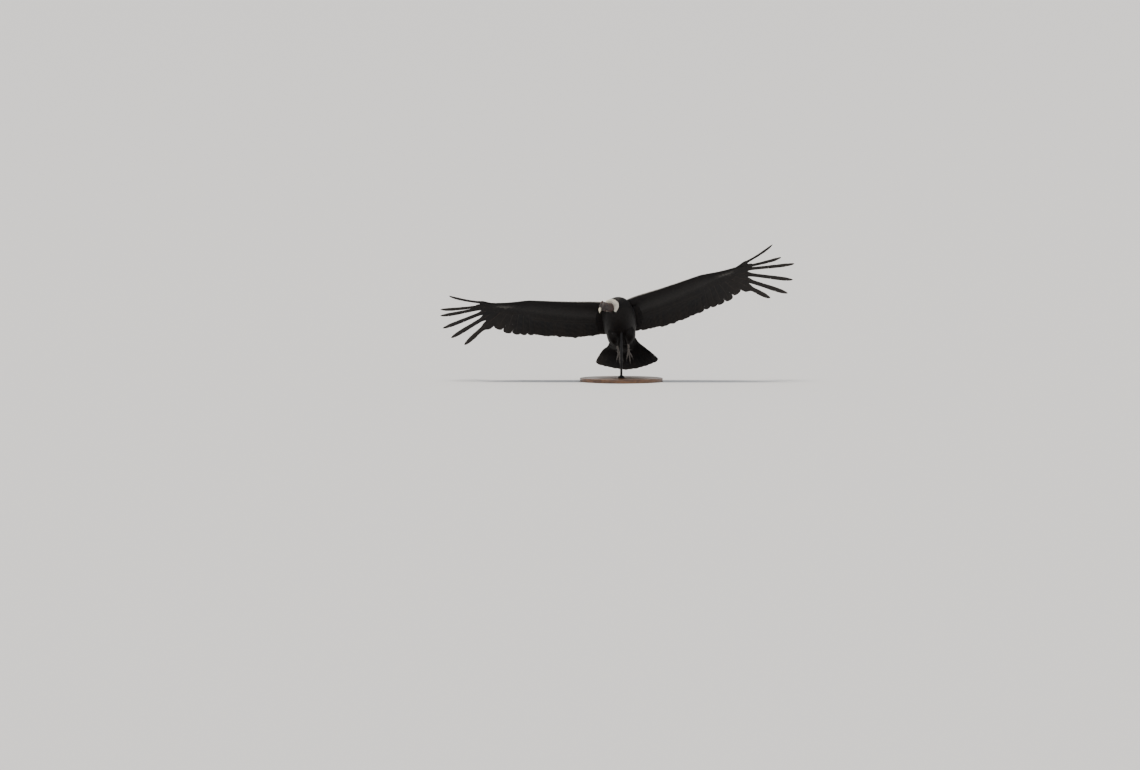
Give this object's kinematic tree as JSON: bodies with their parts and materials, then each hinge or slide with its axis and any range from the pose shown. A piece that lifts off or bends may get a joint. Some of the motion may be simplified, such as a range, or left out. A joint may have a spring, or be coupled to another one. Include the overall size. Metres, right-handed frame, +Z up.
{
  "type": "andean condor",
  "caption": "Life-size Andean condor soaring with wings and finger feathers spread, on a round base and rod.",
  "frame": {"origin": "middle of the underside of the stand's round base", "axes": "+Z up, the bird faces -Y, +X towards its left wing, which is banked up"},
  "size_m": [2.9293, 0.8134, 1.1257],
  "materials": {
    "feather": "black feathers with a faint sheen",
    "down": "soft white down",
    "bare_skin": "bare wrinkled skin, satin",
    "comb": "fleshy, satin",
    "bill": "ivory horn, dark at its base",
    "eye": "polished, opaque",
    "foot_skin": "grey scaled skin, matt",
    "claw": "dark horn",
    "base_wood": "satin varnish",
    "rod_metal": "satin black"
  },
  "bodies": {
    "root": {"wing_left_upper_arm": "feather", "wing_left_forearm": "feather", "wing_left_hand": "feather", "thigh_left": "feather", "ruff_left": "down", "eye_left": "eye", "foot_left": "foot_skin", "claw_left_1": "claw", "claw_left_2": "claw", "claw_left_3": "claw", "claw_left_4": "claw", "wing_right_upper_arm": "feather", "wing_right_forearm": "feather", "wing_right_hand": "feather", "thigh_right": "feather", "ruff_right": "down", "eye_right": "eye", "foot_right": "foot_skin", "claw_right_1": "claw", "claw_right_2": "claw", "claw_right_3": "claw", "claw_right_4": "claw", "tail": "feather", "torso": "feather", "neck": "bare_skin", "head": "bare_skin", "comb": "comb", "bill_upper": "bill", "bill_lower": "bill", "stand_base": "base_wood", "stand_rod": "rod_metal"}
  },
  "joints": []
}
